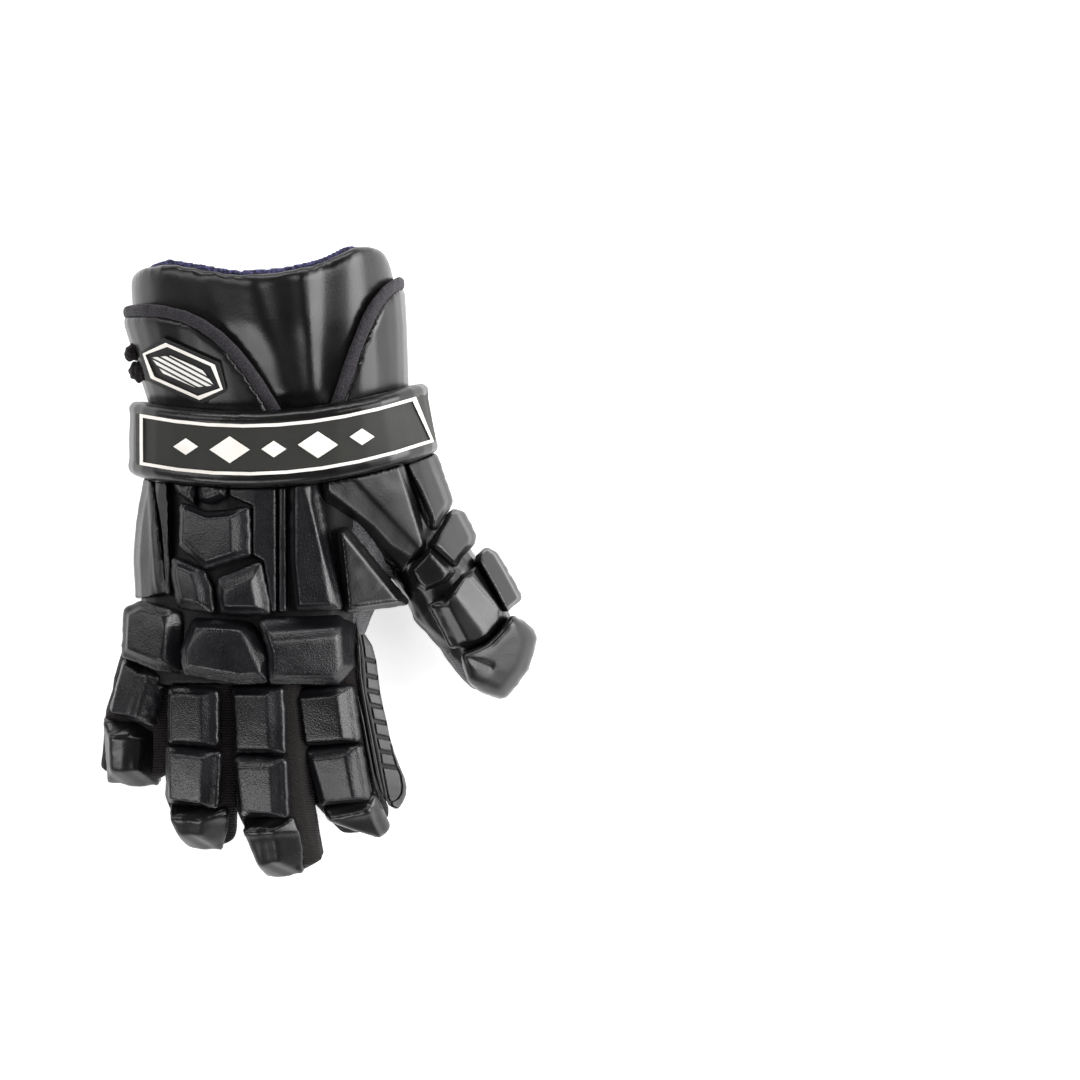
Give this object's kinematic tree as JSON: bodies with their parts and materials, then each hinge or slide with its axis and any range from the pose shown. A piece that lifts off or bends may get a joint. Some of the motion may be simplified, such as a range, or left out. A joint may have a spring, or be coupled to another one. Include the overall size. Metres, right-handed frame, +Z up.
{
  "type": "lacrosse glove",
  "caption": "Right-hand lacrosse glove lying palm down, with moulded leather pads on the back, fingers and thumb, a padded wrist band and an open flared cuff.",
  "frame": {"origin": "middle of the palm's flat underside, where the glove rests on a table", "axes": "+Y from the fingers to the cuff, +X from the little finger's side to the thumb, +Z up through the back of the hand"},
  "size_m": [0.2273, 0.3311, 0.0953],
  "materials": {
    "pad_leather": "black satin coated leather with a fine pebble grain, moulded over foam",
    "palm_leather": "black matt suede-like palm leather",
    "stretch_fabric": "matt black ribbed stretch cloth",
    "grey_mesh": "matt dark grey knitted mesh",
    "neoprene": "matt purple-grey speckled neoprene binding",
    "lining": "navy printed lining cloth",
    "grey_rubber": "satin dark grey moulded rubber",
    "white_print": "off-white raised rubber print"
  },
  "bodies": {
    "root": {"palm": "palm_leather", "hand_shell": "stretch_fabric", "hand_palm_panel": "stretch_fabric", "thumb_sleeve": "grey_mesh", "little_sleeve": "stretch_fabric", "ring_sleeve": "stretch_fabric", "middle_sleeve": "stretch_fabric", "index_sleeve": "stretch_fabric", "little_pad_1": "pad_leather", "little_pad_2": "pad_leather", "ring_pad_1": "pad_leather", "ring_pad_2": "pad_leather", "ring_pad_3": "pad_leather", "middle_pad_1": "pad_leather", "middle_pad_2": "pad_leather", "middle_pad_3": "pad_leather", "index_pad_1": "pad_leather", "index_pad_2": "pad_leather", "index_pad_3": "pad_leather", "knuckle_pad_little": "pad_leather", "knuckle_pad_middle": "pad_leather", "knuckle_pad_index": "pad_leather", "small_pad_outer": "pad_leather", "small_pad_inner": "pad_leather", "shield_pad": "pad_leather", "lower_pad_outer": "pad_leather", "lower_pad_inner": "pad_leather", "wedge_pad": "pad_leather", "thumb_crotch_pad": "pad_leather", "thumb_base_pad": "pad_leather", "side_flute_outer": "pad_leather", "side_flute_inner": "pad_leather", "back_strip_long": "pad_leather", "back_strip_narrow": "pad_leather", "thumb_outer_pad_1": "pad_leather", "thumb_outer_pad_2": "pad_leather", "thumb_middle_pad": "pad_leather", "thumb_long_pad": "pad_leather", "thumb_outer_pad_3": "pad_leather", "thumb_tip_cap": "pad_leather", "index_side_strip": "grey_rubber", "cuff_back_panel": "pad_leather", "cuff_palm_panel": "stretch_fabric", "cuff_lining": "lining", "cuff_wing_left": "pad_leather", "wing_trim_left": "neoprene", "cuff_wing_right": "pad_leather", "wing_trim_right": "neoprene", "badge_plate": "grey_rubber", "badge_rim": "white_print", "badge_lozenge": "white_print", "wrist_band": "pad_leather", "label_frame": "white_print", "band_mark_1": "white_print", "band_mark_2": "white_print", "band_mark_3": "white_print", "band_mark_4": "white_print", "band_mark_5": "white_print", "lace_knot_1": "stretch_fabric", "lace_knot_2": "stretch_fabric"}
  },
  "joints": []
}
